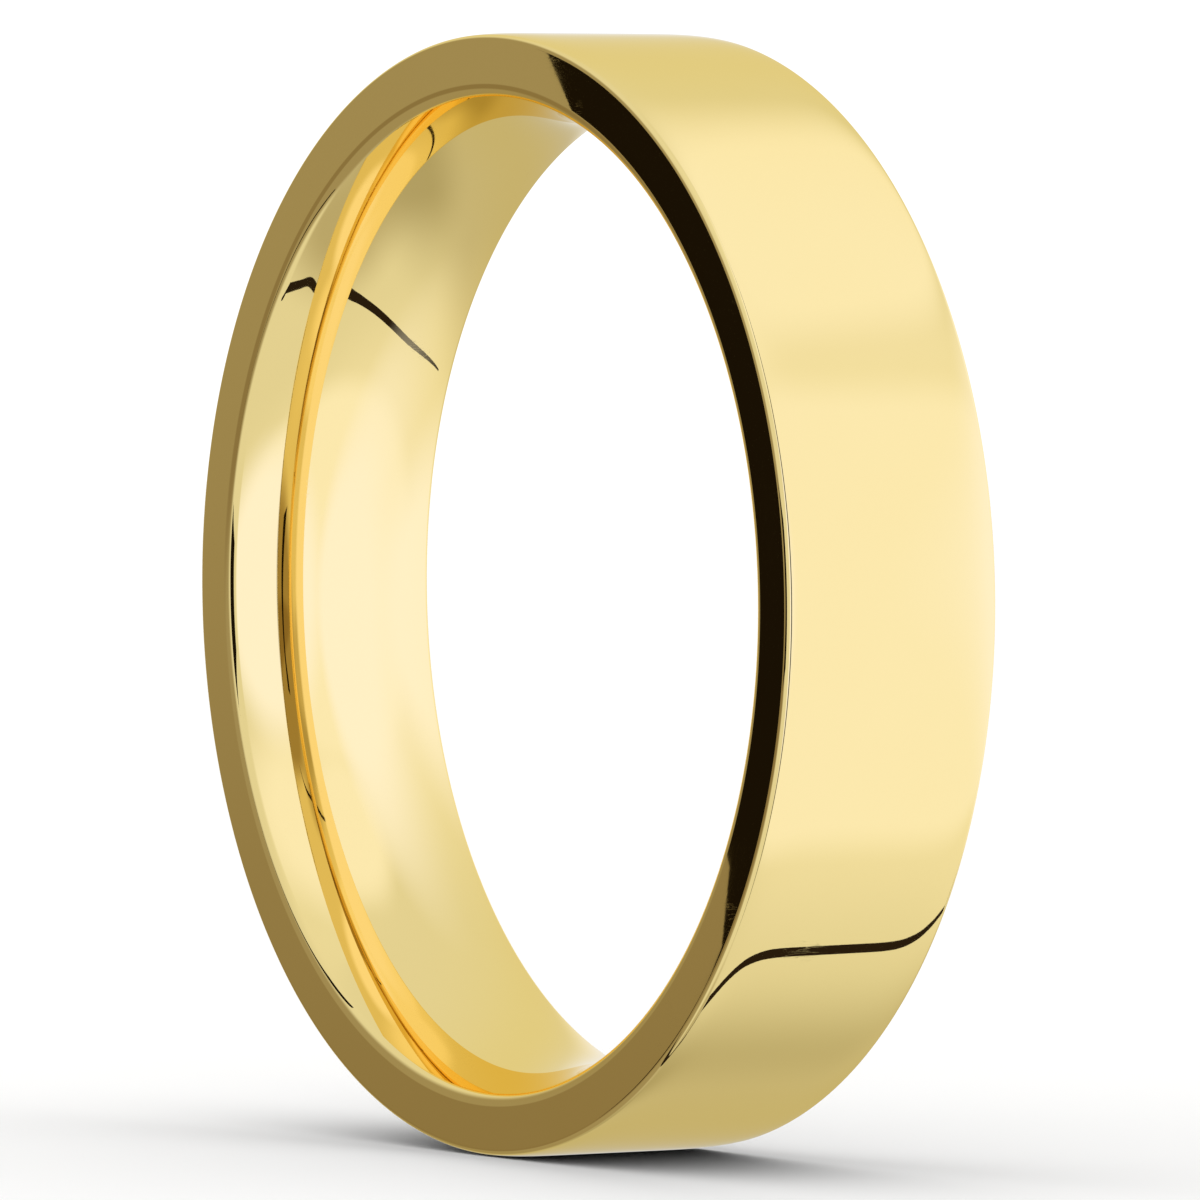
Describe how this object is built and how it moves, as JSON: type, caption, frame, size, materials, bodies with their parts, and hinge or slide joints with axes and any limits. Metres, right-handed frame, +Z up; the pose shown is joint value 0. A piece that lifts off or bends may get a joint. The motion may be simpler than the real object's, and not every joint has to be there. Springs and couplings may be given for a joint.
{
  "type": "wedding band",
  "caption": "Plain flat wedding band of solid polished yellow gold, with a domed comfort-fit inside and small rounded edges, standing upright.",
  "frame": {"origin": "the ring's centre: on its axis, halfway between the two side faces, where the finger that holds the ring goes through", "axes": "+Y along the ring's axis, the way a finger goes through it, from the front side face to the back one; +Z up, with the ring standing on its edge; +X to the right as seen from the front side face"},
  "size_m": [0.023, 0.005, 0.023],
  "materials": {
    "polished_gold": "mirror-polished yellow gold"
  },
  "bodies": {
    "root": {"band": "polished_gold"}
  },
  "joints": []
}
